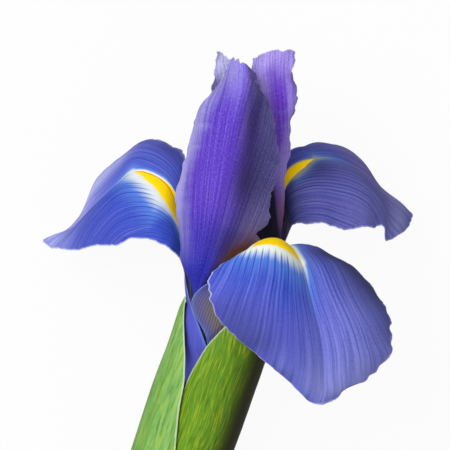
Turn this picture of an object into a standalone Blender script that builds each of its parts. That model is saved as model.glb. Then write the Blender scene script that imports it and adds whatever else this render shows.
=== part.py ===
"""A cut iris flower lying on a surface.

The frame: +Z is up, away from the surface. +Y runs along the flower from its cut stem to the tips of its
standards, and +X is to the right of that. The origin is on the surface, under the middle of the whole flower.

Three falls (the hanging petals), three standards (the upright petals), three style arms and three stamens
spring from the throat, on top of the ovary. Each of them is drawn in a frame of its own at the throat:
out is the distance from the flower's axis, across is sideways, and up is along the axis.
"""
import math

import bmesh
import bpy
import numpy as np
from mathutils import Matrix, Vector

MM = 0.001

# Driving dimensions, in millimetres and degrees.
THROAT = (-3.2, 18.8, 26.3)         # top of the ovary, where all the petals spring
STEM_SHIFT = -0.9                   # of the stem's axis from the throat, along X
FLOWER_LEAN = 8.0                   # of the flower's axis, to the right of +Y
FLOWER_TILT = 12.0                  # of the flower's axis, up from the surface
STEM_LEAN = 19.0
STEM_TILT = 10.2
PETAL_THICK = 0.7
BRACT_THICK = 0.8
ROOT_GAP = 0.3                      # between the ovary and what springs from it
STEM_RADIUS = 4.2
NECK_RADIUS = 3.4                   # of the stem inside the spathe
OVARY_LENGTH = 26.0
OVARY_HEIGHTS = [-OVARY_LENGTH, -24.5, -21, -16, -11, -7]
OVARY_SHOULDER = -2.5               # height at which the ovary has turned into the flower's axis
OVARY_RADII = [NECK_RADIUS, 4.0, 4.6, 4.7, 4.3, 4.0, 4.6, 5.4]
OVARY_LOBES = 0.06                  # height of its three rounded ribs, as a share of its radius
STEM_LENGTH = 125.0                 # from the throat to the cut end
SPATHE_FOOT = 72.0                  # from the throat down to where the bracts leave the stem
FOOT_RADIUS = 5.0                   # of the bracts where they leave the stem
SPATHE_RADIUS = 12.0                # of the bracts where they are widest
STEM_HEIGHTS = [-STEM_LENGTH, -100, -SPATHE_FOOT, -55, -40, -OVARY_LENGTH - ROOT_GAP]
STEM_RADII = [STEM_RADIUS, STEM_RADIUS, STEM_RADIUS - 0.2, NECK_RADIUS, NECK_RADIUS, NECK_RADIUS]

# How finely the sheets are divided.
PETAL_ROWS, PETAL_COLUMNS = 26, 12
ARM_ROWS, ARM_COLUMNS = 12, 6
BRACT_ROWS, BRACT_COLUMNS = 24, 12
STAMEN_ROWS, STAMEN_SIDES = 12, 8
STEM_SIDES, OVARY_SIDES = 20, 18

WAVE_LAG = 1.5                      # radians by which the edge's waves lag from the midrib to the edge
ARM_CREASE = 0.2                    # of a style arm's midrib
ROUGHNESS = 0.6

# Ribs of a petal, from its root to its tip: the midrib, the edge on the minus side and the edge on the plus
# side, each as (out, across, up), and how far each half arches towards the petal's inner face.
FALL_LEFT = [
    ((5.0, 0, 0), (4.5, -2.6, 0), (2, 5.6, 0), 0, -1.8),
    ((6.8, 0, 9.5), (7, -3.5, 9.5), (-1.6, 7.7, 9.5), 0, -4),
    ((7.6, 0, 14.5), (7.9, -3.5, 14), (0.9, 8.1, 14.5), 0, -2.8),
    ((8.0, 0, 19), (8.4, -3.5, 18), (3.2, 7, 18.5), 0, -0.8),
    ((9.3, 0, 24), (9.9, -4.2, 23.2), (7.4, 4.9, 23.3), 0, -0.3),
    ((11, 0, 30), (12, -5, 29), (10, 3.5, 28.5), 0, 0),
    ((15, 0, 39), (16.5, -7.5, 43), (13, 6.5, 31.2), 0.5, 0.5),
    ((19.5, 0, 45), (22, -11.5, 50.5), (17, 9, 33), 1, 1),
    ((25, 0, 46.5), (29, -15.5, 52), (21, 10, 32), 1.5, 1.5),
    ((29, 0, 46), (36, -17.3, 51), (25, 10.5, 30), 1.5, 2),
    ((33, 0, 42), (42, -17.5, 46.5), (30.5, 10, 28), 1.5, 2),
    ((38.5, 0, 35.5), (47.6, -14.5, 38.6), (37.5, 8, 25.5), 1, 1.5),
    ((44, 0, 28.5), (47.2, -9, 30), (43.5, 5, 23.5), 0.5, 1),
    ((49, 0, 25.5), (48.4, -3.5, 23.8), (48.5, 2.5, 23), 0, 0.5),
    ((52.5, 0, 23.5), (52.2, -1, 23.2), (52.2, 1, 23), 0, 0),
]
FALL_RIGHT = [
    ((5.0, 0, 0), (4.5, -2.6, 0), (4.5, 2.6, 0), 0, 0),
    ((7.5, 0, 12), (7.5, -3.5, 11), (7.5, 3.5, 11), 0, 0),
    ((10.5, 0, 24), (11, -4, 23), (11, 4, 23), 0, 0),
    ((14, 0, 35), (13, -4.5, 35), (16, 5, 34), 0, 0),
    ((13.4, 0, 46), (13.5, -5.5, 40), (16.5, 7.5, 46), 0.5, 0.5),
    ((14.3, 0, 53), (14.5, -8, 41.8), (18.5, 10.5, 52.5), 1, 1),
    ((18, 0, 55.2), (17.5, -9.7, 42.2), (21.5, 12, 54.5), 1.5, 1.5),
    ((22, 0, 56), (22, -11, 42), (26, 15, 54.5), 2, 1.5),
    ((26.5, 0, 56), (28, -12, 41.5), (31.5, 17.5, 55.5), 2, 1.5),
    ((31.5, 0, 54.5), (33.5, -11.5, 42), (37.5, 18.3, 55.5), 2, 1.5),
    ((37.5, 0, 51.5), (37.3, -9.5, 41.5), (43.6, 17.5, 54), 1.5, 1),
    ((43.5, 0, 47.5), (40, -9, 38.3), (46.8, 10, 44.5), 1, 1),
    ((49, 0, 45), (45, -6.5, 38.6), (49, 5, 43), 0.5, 0.5),
    ((53, 0, 42.5), (51, -2.5, 40), (52.5, 1.5, 42.5), 0, 0),
]
FALL_FRONT = [
    ((5.0, -1.2, 0), (4.7, -3.8, 0), (4.3, 1.5, 0), 0, 0),
    ((7.2, -1, 12), (7, -5, 11.5), (6.8, 3.5, 11.5), 0, 0),
    ((10.6, -0.5, 23), (9.3, -11.5, 22.5), (10, 5, 24), 0, 0),
    ((15.5, 3, 33.5), (15, -6.5, 31.5), (14, 9, 33.5), 1, 0.5),
    ((20, 6.5, 39.2), (19, -4, 37), (17, 13, 38.5), 2.5, 0.5),
    ((25, 6.5, 38.5), (22, -8.5, 36), (20, 18, 37.5), 3.5, 1),
    ((29, 7, 36), (24, -14.5, 32), (23, 22.5, 35.5), 3.5, 2),
    ((32, 8, 31), (26, -14, 26.5), (26, 30, 28.5), 3, 2),
    ((33.5, 10.5, 24), (28, -9.5, 20.5), (28, 32.8, 22.5), 2.5, 2),
    ((34, 12.5, 17.5), (30, -4.5, 17), (29, 33, 17.5), 2, 2),
    ((33.5, 14, 11.5), (31.5, 1.5, 13), (30, 28.8, 11.3), 1.5, 1.5),
    ((33, 15, 7.5), (32, 7.5, 8.5), (31, 22.5, 8.5), 0.5, 0.5),
    ((32.5, 15, 4.4), (32, 12, 5), (31.5, 19, 5.6), 0, 0),
]
STANDARD_FRONT = [
    ((4.2, -1.6, 0), (3.6, -3.2, 0), (4.2, 0, 0), 0, 0),
    ((5.5, -2, 12), (5, -3.2, 12), (5.5, -0.5, 12), 0, 0),
    ((6.5, -3, 21), (5.8, -4.2, 20.5), (6.5, -1.5, 21.5), 0, 0),
    ((10, 0, 31), (6, -8.5, 29), (9, 5.5, 32.5), -1, -1),
    ((12.5, 2.5, 42), (5.5, -11.5, 37.5), (8, 13, 40.5), -1.5, -1.5),
    ((13, 3.5, 51), (5, -13.5, 45.5), (7, 13.5, 51), -2, -2),
    ((13, 4, 60), (5.5, -11.5, 55.5), (6.5, 13.5, 58.5), -2, -2),
    ((12, 4, 68), (5.5, -10.5, 65.5), (6, 10, 69), -1.5, -1.5),
    ((10, 3.5, 74.5), (4, -7.4, 71.7), (5, 6, 74), -1, -1),
    ((8, 1.5, 80.2), (5, -3, 80.6), (5, 2.5, 78.5), 0, 0),
]
STANDARD_RIGHT = [
    ((4.2, 0, 0), (4.1, -1.2, 0), (4.1, 1.2, 0), 0, 0),
    ((7, 0, 15), (6.5, -1.8, 15), (6.5, 1.8, 15), 0, 0),
    ((9.5, 0, 28), (7.8, -3.2, 28), (9, 2.5, 28), 0, 0),
    ((12, 0, 39), (8.8, -6, 39), (11.3, 2.5, 38.5), 0, 0),
    ((11, 0, 46.5), (7.8, -6.4, 46.5), (10.8, 3.6, 45.7), -0.5, -0.5),
    ((9.3, 0.6, 55.9), (6.4, -4.4, 56.5), (10.9, 3.1, 57), -1, -0.6),
    ((8.2, 1.1, 63.8), (3.7, -2, 64), (10.4, 4, 65.4), -0.6, -0.4),
    ((6.7, 1.1, 71.3), (2, -2, 71.3), (10.6, 4.1, 73.4), -0.5, -0.4),
    ((5.3, 1, 77.9), (0.3, -2, 76.5), (8.7, 3.5, 78.6), -0.4, -0.3),
    ((4.7, 1.3, 83.1), (0, -1.6, 80.6), (9.1, 3.7, 83.3), 0, 0),
]
STANDARD_BACK = [
    ((4.2, 0, 0), (4.0, -1.5, 0), (4.0, 1.5, 0), 0, 0),
    ((6, 0, 15), (5.5, -2, 15), (5.5, 2, 15), 0, 0),
    ((9, 0, 28), (8, -4, 28), (8, 4, 28), 0, 0),
    ((12, 0, 40), (9.5, -9, 40), (9.5, 7.5, 40), -1, -1),
    ((13.5, 0, 50), (10, -11.5, 50), (10, 9, 50), -1.5, -1.5),
    ((14, 0, 60), (10, -12, 60), (10, 8.5, 60), -1.5, -1.5),
    ((13.5, 0, 69), (10, -10.5, 69), (13.4, 6, 67.4), -1, -1),
    ((12, 1.5, 74), (9.5, -5, 72), (12.4, 6.5, 73.6), -0.5, -0.5),
    ((10.5, 4, 78.2), (9, 1, 77), (10.9, 6.8, 80), 0, 0),
]
STYLE_ARM = [
    ((2.6, 0, 0), (2.3, -1.2, 0), (2.3, 1.2, 0), 0, 0),
    ((3.8, 0, 12), (3.2, -2, 12), (3.2, 2, 12), 0, 0),
    ((5.3, 0, 24), (4.3, -3, 24), (4.3, 3, 24), 0, 0),
    ((7, 0, 35), (5.8, -4, 35), (5.8, 4, 35), 0, 0),
    ((7.8, 0, 43), (6.8, -4.5, 43.5), (6.8, 4.5, 43.5), 0, 0),
    ((7.6, 0, 48), (6.6, -4.2, 52), (6.6, 4.2, 52), 0, 0),
]
STAMEN_PATH = [(3.8, 0, 0), (5.2, 0, 12), (6.9, 0, 22), (8.1, 0, 28), (9.3, 0, 34)]
FILAMENT_RADIUS = 0.55
ANTHER_RADIUS = 0.95
ANTHER_FROM = 0.6                   # share of the stamen's length where its anther starts

# Petals: name, ribs, direction in degrees (0 faces away from the surface, plus is to the right), crease of the
# midrib (0 is a smooth trough, 1 a sharp fold), height of the edge's waves and how many there are.
FALLS = [
    ("fall_left", FALL_LEFT, -118, 0.5, 0.35, 7),
    ("fall_right", FALL_RIGHT, 122, 0.4, 0.45, 7),
    ("fall_front", FALL_FRONT, 24, 0.15, 0.45, 8),
]
STANDARDS = [
    ("standard_front", STANDARD_FRONT, -28, 0.15, 0.4, 6),
    ("standard_right", STANDARD_RIGHT, 74, 0.15, 0.5, 6),
    ("standard_back", STANDARD_BACK, -166, 0.15, 0.5, 6),
]
ARMS = [("left", -118), ("right", 122), ("front", 20)]

# Bracts of the spathe, from foot to tip: height above the throat, radius, and the direction of each margin.
# The right one goes inside the left one, so its margins are tucked in.
BRACT_LEFT = [
    (-SPATHE_FOOT, FOOT_RADIUS, -178, -6),
    (-60, 5.9, -180, -3),
    (-46, 8.4, -180, -2),
    (-38, 9.9, -184, 0),
    (-28, 11.2, -187, 0),
    (-19, 11.5, -188, -4),
    (-13, 11.6, -187, -11),
    (-6, 11.7, -184, -19),
    (-1, 11.6, -176, -23),
    (4, 11.4, -158, -31),
    (9, 11.4, -130, -43),
    (13.5, 11.5, -106, -57),
    (16.5, 11.5, -93, -68),
    (18.3, 11.4, -86, -76),
]
BRACT_RIGHT = [
    (-SPATHE_FOOT, FOOT_RADIUS, -2, 174),
    (-60, 5.8, 1, 174),
    (-46, 8.1, 2, 174),
    (-38, 9.4, -8, 178),
    (-28, 11.3, -9, 181),
    (-19, 11.8, -11, 181),
    (-13, 12.0, -16, 181),
    (-6, 12.1, -23, 182),
    (-2, 12.1, -24, 182),
    (8, 12.1, -17, 176),
    (14, 11.9, -6, 164),
    (19, 11.7, 9, 148),
    (23, 11.5, 32, 126),
    (25, 11.4, 54, 92),
]
BRACTS = [("bract_left", BRACT_LEFT, 0.0), ("bract_right", BRACT_RIGHT, 2.1)]

COLOURS = {
    "fall": (0.12, 0.14, 0.58),
    "standard": (0.14, 0.07, 0.52),
    "style_arm": (0.10, 0.05, 0.35),
    "stamen": (0.75, 0.62, 0.25),
    "bract_left": (0.20, 0.42, 0.16),
    "bract_right": (0.22, 0.36, 0.06),
    "stem": (0.20, 0.36, 0.10),
}


def clear_scene():
    for thing in list(bpy.data.objects):
        bpy.data.objects.remove(thing, do_unlink=True)


def material(slot):
    made = bpy.data.materials.new(slot)
    made.use_nodes = True
    shader = made.node_tree.nodes["Principled BSDF"]
    shader.inputs["Base Color"].default_value = (*COLOURS[slot], 1)
    shader.inputs["Roughness"].default_value = ROUGHNESS
    shader.inputs["Metallic"].default_value = 0
    return made


def axis_frame(name, lean, tilt, shift=0.0):
    """An empty at the throat whose Z runs along an axis of that lean and tilt, and whose X faces up."""
    lean, tilt = math.radians(lean), math.radians(tilt)
    along = Vector((math.sin(lean) * math.cos(tilt), math.cos(lean) * math.cos(tilt), math.sin(tilt)))
    facing = (Vector((0, 0, 1)) - along * along.z).normalized()
    sideways = along.cross(facing)
    turn = Matrix((facing, sideways, along)).transposed().to_4x4()
    empty = bpy.data.objects.new(name, None)
    bpy.context.collection.objects.link(empty)
    place = Vector(THROAT) + Vector((shift, 0, 0))
    empty.matrix_world = Matrix.Translation(place * MM) @ turn
    return empty


def smooth_line(points, stations):
    """Points on a smooth curve through the given points, at stations counted in points from the first."""
    points = np.array(points, float)
    chord = np.linalg.norm(np.diff(points, axis=0), axis=1)[:, None]
    slope = np.diff(points, axis=0) / chord
    inner = (chord[1:] * slope[:-1] + chord[:-1] * slope[1:]) / (chord[1:] + chord[:-1])
    tangent = np.vstack([slope[:1], inner, slope[-1:]])
    start = np.minimum(stations.astype(int), len(points) - 2)
    f = (stations - start)[:, None]
    hold = 2 * f**3 - 3 * f**2
    return (
        (hold + 1) * points[start]
        + (f**3 - 2 * f**2 + f) * chord[start] * tangent[start]
        - hold * points[start + 1]
        + (f**3 - f**2) * chord[start] * tangent[start + 1]
    )


def unit(vectors):
    return vectors / np.linalg.norm(vectors, axis=-1, keepdims=True)


def petal_grid(ribs, crease, wave, waves, rows, columns):
    """The middle surface of a petal: a grid of points, rows from root to tip and columns edge to edge."""
    stations = np.linspace(0, len(ribs) - 1, rows + 1)
    middle, minus, plus = (smooth_line([rib[k] for rib in ribs], stations)[:, None] for k in range(3))
    arch = [np.interp(stations, range(len(ribs)), [rib[k] for rib in ribs])[:, None, None] for k in (3, 4)]
    inward = unit(np.cross(np.gradient(middle[:, 0], axis=0), (plus - minus)[:, 0]))[:, None]
    side = np.linspace(-1, 1, columns + 1)[None, :, None]
    trough = middle + side * (plus - minus) / 2 + side**2 * ((plus + minus) / 2 - middle)
    folded = middle + np.abs(side) * (np.where(side < 0, minus, plus) - middle)
    swell = 4 * np.abs(side) * (1 - np.abs(side)) * np.where(side < 0, arch[0], arch[1])
    along = stations[:, None, None] / stations[-1]
    near_edge = np.abs(side) ** 3 * np.minimum(1, 3 * along)
    ruffle = wave * np.sin(2 * math.pi * waves * along + WAVE_LAG * side) * near_edge
    return (1 - crease) * trough + crease * folded + (swell + ruffle) * inward


def bract_grid(ribs, tuck, rows, columns):
    """The middle surface of a bract wrapped round the stem's axis; its margins are tucked in by tuck."""
    stations = np.linspace(0, len(ribs) - 1, rows + 1)
    height, radius, start, end = smooth_line(ribs, stations).T[:, :, None]
    share = np.linspace(0, 1, columns + 1)[None, :]
    turn = np.radians(start + (end - start) * share)
    near_margin = np.clip(2 * np.abs(2 * share - 1) - 1, 0, 1) ** 2
    opened = np.clip((radius - FOOT_RADIUS) / (SPATHE_RADIUS - FOOT_RADIUS), 0, 1)
    reach = radius - tuck * opened * near_margin
    return np.stack([reach * np.cos(turn), reach * np.sin(turn), height + 0 * turn], axis=-1)


def sheet(name, grid, thick, colour, parent, turn=0.0):
    """A closed thin solid round a grid of points, with both faces split into triangles alike."""
    rows, columns = grid.shape[:2]
    normal = unit(np.cross(np.gradient(grid, axis=0), np.gradient(grid, axis=1)))
    made = bmesh.new()
    faces = []
    for way in (1, -1):
        face = grid + normal * thick / 2 * way
        faces.append([[made.verts.new(Vector(point) * MM) for point in row] for row in face])
    for r in range(rows - 1):
        for c in range(columns - 1):
            for layer, flip in zip(faces, (1, -1)):
                a, b = layer[r][c], layer[r][c + 1]
                d, e = layer[r + 1][c], layer[r + 1][c + 1]
                for corners in ((a, d, b), (b, d, e)):
                    made.faces.new(corners[::flip])
    inner, outer = faces
    rim = [(0, c) for c in range(columns)] + [(r, columns - 1) for r in range(1, rows)]
    rim += [(rows - 1, c) for c in range(columns - 2, -1, -1)] + [(r, 0) for r in range(rows - 2, 0, -1)]
    for (r0, c0), (r1, c1) in zip(rim, rim[1:] + rim[:1]):
        made.faces.new((outer[r0][c0], inner[r0][c0], inner[r1][c1]))
        made.faces.new((outer[r0][c0], inner[r1][c1], outer[r1][c1]))
    return finish(name, made, colour, parent, turn)


def tube(name, centres, radii, sides, colour, parent, turn=0.0, lobes=0.0):
    """A closed rod round a line of centres; lobes gives it three rounded ribs of that share of its radius."""
    centres = np.array(centres, float)
    along = unit(np.gradient(centres, axis=0))
    facing = unit(np.cross(along, np.cross([1.0, 0, 0], along)))
    sideways = np.cross(along, facing)
    made = bmesh.new()
    rings = []
    for centre, f, s, radius in zip(centres, facing, sideways, radii):
        ring = []
        for k in range(sides):
            angle = 2 * math.pi * k / sides
            reach = radius * (1 + lobes * math.cos(3 * angle))
            point = centre + reach * (math.cos(angle) * f + math.sin(angle) * s)
            ring.append(made.verts.new(Vector(point) * MM))
        rings.append(ring)
    for low, high in zip(rings, rings[1:]):
        for k in range(sides):
            made.faces.new((low[k], low[k - 1], high[k - 1], high[k]))
    made.faces.new(rings[0])
    made.faces.new(rings[-1][::-1])
    return finish(name, made, colour, parent, turn)


def finish(name, made, colour, parent, turn):
    """Turns a bmesh into a named object under its parent, with its faces pointing out."""
    bmesh.ops.recalc_face_normals(made, faces=made.faces)
    mesh = bpy.data.meshes.new(name)
    made.to_mesh(mesh)
    made.free()
    mesh.materials.append(colour)
    mesh.shade_smooth()
    thing = bpy.data.objects.new(name, mesh)
    bpy.context.collection.objects.link(thing)
    thing.parent = parent
    thing.rotation_euler = (0, 0, math.radians(turn))
    return thing


def build_petals(flower):
    for slot, petals in (("fall", FALLS), ("standard", STANDARDS)):
        colour = material(slot)
        for name, ribs, direction, crease, wave, waves in petals:
            grid = petal_grid(ribs, crease, wave, waves, PETAL_ROWS, PETAL_COLUMNS)
            sheet(name, grid, PETAL_THICK, colour, flower, direction)


def build_middle(flower):
    """A style arm over each fall, with a stamen between them."""
    arm_colour, stamen_colour = material("style_arm"), material("stamen")
    stations = np.linspace(0, len(STAMEN_PATH) - 1, STAMEN_ROWS + 1)
    share = stations / stations[-1]
    radii = np.where(share < ANTHER_FROM, FILAMENT_RADIUS, ANTHER_RADIUS)
    radii[-1] = FILAMENT_RADIUS
    path = smooth_line(STAMEN_PATH, stations)
    for side, direction in ARMS:
        grid = petal_grid(STYLE_ARM, ARM_CREASE, 0, 0, ARM_ROWS, ARM_COLUMNS)
        sheet(f"style_arm_{side}", grid, PETAL_THICK, arm_colour, flower, direction)
        tube(f"stamen_{side}", path, radii, STAMEN_SIDES, stamen_colour, flower, direction)


def build_spathe(stalk):
    for name, ribs, tuck in BRACTS:
        grid = bract_grid(ribs, tuck, BRACT_ROWS, BRACT_COLUMNS)
        sheet(name, grid, BRACT_THICK, material(name), stalk)


def build_stem(flower, stalk):
    """The cut stem up to the ovary, and the ovary, which turns from the stem's axis to the flower's."""
    green = material("stem")
    tube("stem", [(0, 0, height) for height in STEM_HEIGHTS], STEM_RADII, STEM_SIDES, green, stalk)
    to_flower = flower.matrix_world.inverted() @ stalk.matrix_world
    low = [to_flower @ (Vector((0, 0, height)) * MM) / MM for height in OVARY_HEIGHTS]
    centres = [tuple(point) for point in low] + [(0, 0, OVARY_SHOULDER), (0, 0, -ROOT_GAP)]
    tube("ovary", centres, OVARY_RADII, OVARY_SIDES, green, flower, lobes=OVARY_LOBES)


clear_scene()
flower_axis = axis_frame("flower_axis", FLOWER_LEAN, FLOWER_TILT)
stem_axis = axis_frame("stem_axis", STEM_LEAN, STEM_TILT, STEM_SHIFT)
build_petals(flower_axis)
build_middle(flower_axis)
build_spathe(stem_axis)
build_stem(flower_axis, stem_axis)
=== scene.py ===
"""The looks of a cut iris flower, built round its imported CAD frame.

Each piece is a finer closed solid of nearly the same form as its CAD node. Fields worked out for each
point, such as how far it is from the margin, drive the procedural materials.
"""
import math

import bpy
import numpy as np
from mathutils import Matrix, Vector


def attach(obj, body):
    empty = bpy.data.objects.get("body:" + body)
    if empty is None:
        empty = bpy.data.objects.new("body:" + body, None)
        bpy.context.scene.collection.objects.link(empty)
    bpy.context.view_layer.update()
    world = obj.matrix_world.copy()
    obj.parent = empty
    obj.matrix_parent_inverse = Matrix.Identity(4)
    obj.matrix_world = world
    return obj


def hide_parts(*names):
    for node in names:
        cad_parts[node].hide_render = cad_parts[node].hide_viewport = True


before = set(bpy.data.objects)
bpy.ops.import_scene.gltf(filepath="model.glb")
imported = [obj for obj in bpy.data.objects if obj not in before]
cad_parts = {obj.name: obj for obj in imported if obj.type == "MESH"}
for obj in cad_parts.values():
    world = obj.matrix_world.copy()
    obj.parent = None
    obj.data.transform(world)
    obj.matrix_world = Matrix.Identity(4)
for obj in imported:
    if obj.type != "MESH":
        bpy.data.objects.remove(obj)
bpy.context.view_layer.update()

MM = 0.001
TURN = 2 * math.pi

# The flower's dimensions in millimetres and degrees, as in the CAD.
THROAT = (-3.2, 18.8, 26.3)
STEM_SHIFT = -0.9
FLOWER_LEAN, FLOWER_TILT = 8, 12
STEM_LEAN, STEM_TILT = 19, 10.2
ROOT_GAP = 0.3
STEM_RADIUS, NECK_RADIUS = 4.2, 3.4
OVARY_LENGTH = 26
OVARY_HEIGHTS = [-OVARY_LENGTH, -24.5, -21, -16, -11, -7]
OVARY_RADII = [NECK_RADIUS, 4, 4.6, 4.7, 4.3, 4, 4.6, 5.4]
OVARY_SHOULDER = -2.5
OVARY_LOBES = 0.06
STEM_LENGTH = 125
SPATHE_FOOT = 72
FOOT_RADIUS, SPATHE_RADIUS = 5, 12
STEM_HEIGHTS = [-STEM_LENGTH, -100, -SPATHE_FOOT, -55, -40, -OVARY_LENGTH - ROOT_GAP]
STEM_RADII = [STEM_RADIUS, STEM_RADIUS, STEM_RADIUS - 0.2, NECK_RADIUS, NECK_RADIUS, NECK_RADIUS]
WAVE_LAG = 1.5
ARM_CREASE = 0.2

# The camera looks straight down, at a point beyond the throat.
CAMERA_HEIGHT = 650  # above the throat, in mm
CAMERA_ASIDE = (3.9, 38)  # of the view's middle from the throat
VIEW_WIDTH = 110.25  # of what the view takes in at the throat's height

# Ribs of a petal, from its root to its tip: the midrib, the edge on the minus side and the edge on the plus
# side, each as (out, across, up), and how far each half arches towards the petal's inner face.
FALL_LEFT = [
    ((5, 0, 0), (4.5, -2.6, 0), (2, 5.6, 0), 0, -1.8),
    ((6.8, 0, 9.5), (7, -3.5, 9.5), (-1.6, 7.7, 9.5), 0, -4),
    ((7.6, 0, 14.5), (7.9, -3.5, 14), (0.9, 8.1, 14.5), 0, -2.8),
    ((8, 0, 19), (8.4, -3.5, 18), (3.2, 7, 18.5), 0, -0.8),
    ((9.3, 0, 24), (9.9, -4.2, 23.2), (7.4, 4.9, 23.3), 0, -0.3),
    ((11, 0, 30), (12, -5, 29), (10, 3.5, 28.5), 0, 0),
    ((15, 0, 39), (16.5, -7.5, 43), (13, 6.5, 31.2), 0.5, 0.5),
    ((19.5, 0, 45), (22, -11.5, 50.5), (17, 9, 33), 1, 1),
    ((25, 0, 46.5), (29, -15.5, 52), (21, 10, 32), 1.5, 1.5),
    ((29, 0, 46), (36, -17.3, 51), (25, 10.5, 30), 1.5, 2),
    ((33, 0, 42), (42, -17.5, 46.5), (30.5, 10, 28), 1.5, 2),
    ((38.5, 0, 35.5), (47.6, -14.5, 38.6), (37.5, 8, 25.5), 1, 1.5),
    ((44, 0, 28.5), (47.2, -9, 30), (43.5, 5, 23.5), 0.5, 1),
    ((49, 0, 25.5), (48.4, -3.5, 23.8), (48.5, 2.5, 23), 0, 0.5),
    ((52.5, 0, 23.5), (52.2, -1, 23.2), (52.2, 1, 23), 0, 0),
]
FALL_RIGHT = [
    ((5, 0, 0), (4.5, -2.6, 0), (4.5, 2.6, 0), 0, 0),
    ((7.5, 0, 12), (7.5, -3.5, 11), (7.5, 3.5, 11), 0, 0),
    ((10.5, 0, 24), (11, -4, 23), (11, 4, 23), 0, 0),
    ((14, 0, 35), (13, -4.5, 35), (16, 5, 34), 0, 0),
    ((13.4, 0, 46), (13.5, -5.5, 40), (16.5, 7.5, 46), 0.5, 0.5),
    ((14.3, 0, 53), (14.5, -8, 41.8), (18.5, 10.5, 52.5), 1, 1),
    ((18, 0, 55.2), (17.5, -9.7, 42.2), (21.5, 12, 54.5), 1.5, 1.5),
    ((22, 0, 56), (22, -11, 42), (26, 15, 54.5), 2, 1.5),
    ((26.5, 0, 56), (28, -12, 41.5), (31.5, 17.5, 55.5), 2, 1.5),
    ((31.5, 0, 54.5), (33.5, -11.5, 42), (37.5, 18.3, 55.5), 2, 1.5),
    ((37.5, 0, 51.5), (37.3, -9.5, 41.5), (43.6, 17.5, 54), 1.5, 1),
    ((43.5, 0, 47.5), (40, -9, 38.3), (46.8, 10, 44.5), 1, 1),
    ((49, 0, 45), (45, -6.5, 38.6), (49, 5, 43), 0.5, 0.5),
    ((53, 0, 42.5), (51, -2.5, 40), (52.5, 1.5, 42.5), 0, 0),
]
FALL_FRONT = [
    ((5, -1.2, 0), (4.7, -3.8, 0), (4.3, 1.5, 0), 0, 0),
    ((7.2, -1, 12), (7, -5, 11.5), (6.8, 3.5, 11.5), 0, 0),
    ((10.6, -0.5, 23), (9.3, -11.5, 22.5), (10, 5, 24), 0, 0),
    ((15.5, 3, 33.5), (15, -6.5, 31.5), (14, 9, 33.5), 1, 0.5),
    ((20, 6.5, 39.2), (19, -4, 37), (17, 13, 38.5), 2.5, 0.5),
    ((25, 6.5, 38.5), (22, -8.5, 36), (20, 18, 37.5), 3.5, 1),
    ((29, 7, 36), (24, -14.5, 32), (23, 22.5, 35.5), 3.5, 2),
    ((32, 8, 31), (26, -14, 26.5), (26, 30, 28.5), 3, 2),
    ((33.5, 10.5, 24), (28, -9.5, 20.5), (28, 32.8, 22.5), 2.5, 2),
    ((34, 12.5, 17.5), (30, -4.5, 17), (29, 33, 17.5), 2, 2),
    ((33.5, 14, 11.5), (31.5, 1.5, 13), (30, 28.8, 11.3), 1.5, 1.5),
    ((33, 15, 7.5), (32, 7.5, 8.5), (31, 22.5, 8.5), 0.5, 0.5),
    ((32.5, 15, 4.4), (32, 12, 5), (31.5, 19, 5.6), 0, 0),
]
STANDARD_FRONT = [
    ((4.2, -1.6, 0), (3.6, -3.2, 0), (4.2, 0, 0), 0, 0),
    ((5.5, -2, 12), (5, -3.2, 12), (5.5, -0.5, 12), 0, 0),
    ((6.5, -3, 21), (5.8, -4.2, 20.5), (6.5, -1.5, 21.5), 0, 0),
    ((10, 0, 31), (6, -8.5, 29), (9, 5.5, 32.5), -1, -1),
    ((12.5, 2.5, 42), (5.5, -11.5, 37.5), (8, 13, 40.5), -1.5, -1.5),
    ((13, 3.5, 51), (5, -13.5, 45.5), (7, 13.5, 51), -2, -2),
    ((13, 4, 60), (5.5, -11.5, 55.5), (6.5, 13.5, 58.5), -2, -2),
    ((12, 4, 68), (5.5, -10.5, 65.5), (6, 10, 69), -1.5, -1.5),
    ((10, 3.5, 74.5), (4, -7.4, 71.7), (5, 6, 74), -1, -1),
    ((8, 1.5, 80.2), (5, -3, 80.6), (5, 2.5, 78.5), 0, 0),
]
STANDARD_RIGHT = [
    ((4.2, 0, 0), (4.1, -1.2, 0), (4.1, 1.2, 0), 0, 0),
    ((7, 0, 15), (6.5, -1.8, 15), (6.5, 1.8, 15), 0, 0),
    ((9.5, 0, 28), (7.8, -3.2, 28), (9, 2.5, 28), 0, 0),
    ((12, 0, 39), (8.8, -6, 39), (11.3, 2.5, 38.5), 0, 0),
    ((11, 0, 46.5), (7.8, -6.4, 46.5), (10.8, 3.6, 45.7), -0.5, -0.5),
    ((9.3, 0.6, 55.9), (6.4, -4.4, 56.5), (10.9, 3.1, 57), -1, -0.6),
    ((8.2, 1.1, 63.8), (3.7, -2, 64), (10.4, 4, 65.4), -0.6, -0.4),
    ((6.7, 1.1, 71.3), (2, -2, 71.3), (10.6, 4.1, 73.4), -0.5, -0.4),
    ((5.3, 1, 77.9), (0.3, -2, 76.5), (8.7, 3.5, 78.6), -0.4, -0.3),
    ((4.7, 1.3, 83.1), (0, -1.6, 80.6), (9.1, 3.7, 83.3), 0, 0),
]
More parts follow.
